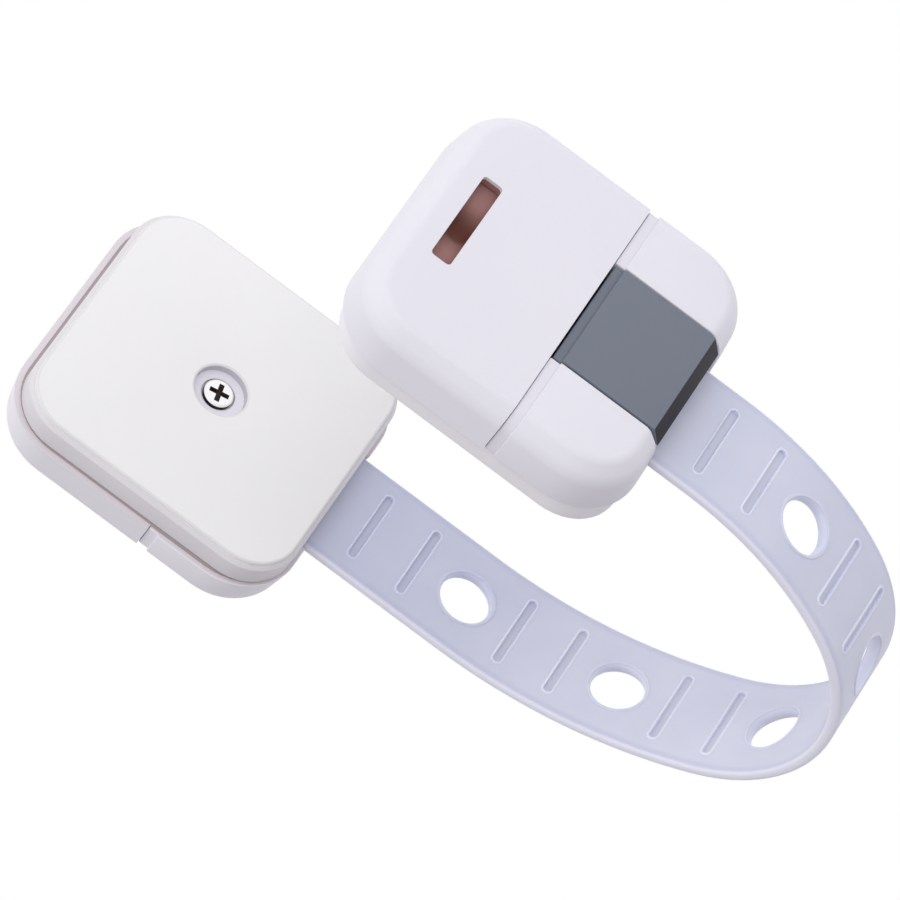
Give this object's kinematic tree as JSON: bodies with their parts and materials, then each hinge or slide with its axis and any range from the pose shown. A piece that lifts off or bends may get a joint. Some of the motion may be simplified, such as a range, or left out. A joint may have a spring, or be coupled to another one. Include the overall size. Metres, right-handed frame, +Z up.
{
  "type": "cabinet safety lock",
  "caption": "Stick-on cabinet safety lock: two rounded square lock blocks joined by a bent, perforated flexible strap, each block with a sprung release button.",
  "frame": {"origin": "middle of the underside of the whole part's box, as it lies on its side", "axes": "+X from the blocks towards the strap's bend, +Y from the lower block to the upper block, +Z up, across the strap's width"},
  "size_m": [0.1176, 0.074, 0.0462],
  "materials": {
    "shell": "satin white moulded plastic",
    "plate": "satin white moulded plastic",
    "pad": "matte white adhesive foam",
    "button": "matte grey moulded plastic",
    "strap": "satin translucent lilac elastomer",
    "steel": "bright zinc plated",
    "spring_steel": "drawn wire"
  },
  "bodies": {
    "lower_lock": {"lower_adhesive_pad": "pad", "lower_base_plate": "plate", "lower_base_screw": "steel", "lower_clamp_nut": "steel", "lower_strap_housing": "shell", "lower_front_cover": "shell", "lower_pivot_pin": "steel", "lower_return_spring": "spring_steel", "strap_lower_run": "strap", "strap_bend": "strap"},
    "lower_button": {"lower_release_button": "button"},
    "upper_lock": {"upper_adhesive_pad": "pad", "upper_base_plate": "plate", "upper_base_screw": "steel", "upper_clamp_nut": "steel", "upper_strap_housing": "shell", "upper_front_cover": "shell", "upper_pivot_pin": "steel", "upper_return_spring": "spring_steel", "strap_upper_run": "strap"},
    "upper_button": {"upper_release_button": "button"}
  },
  "joints": [
    {"name": "strap_flex", "type": "hinge", "parent": "lower_lock", "child": "upper_lock", "pos_m": [0.05795, 0.0017, 0.0231], "axis": [0, 0, -1], "range_deg": [-20, 90], "stiffness_Nm_per_rad": 0.01, "deforming": ["strap_bend"]},
    {"name": "lower_button_press", "type": "hinge", "parent": "lower_lock", "child": "lower_button", "pos_m": [-0.0288, -0.03316, 0.0231], "axis": [0, 0, 1], "range_deg": [0, 9], "stiffness_Nm_per_rad": 0.12, "springref_deg": -5.16, "deforming": ["lower_return_spring"]},
    {"name": "upper_button_press", "type": "hinge", "parent": "upper_lock", "child": "upper_button", "pos_m": [-0.00082, 0.03316, 0.0231], "axis": [0, 0, -1], "range_deg": [0, 9], "stiffness_Nm_per_rad": 0.12, "springref_deg": -5.16, "deforming": ["upper_return_spring"]}
  ]
}
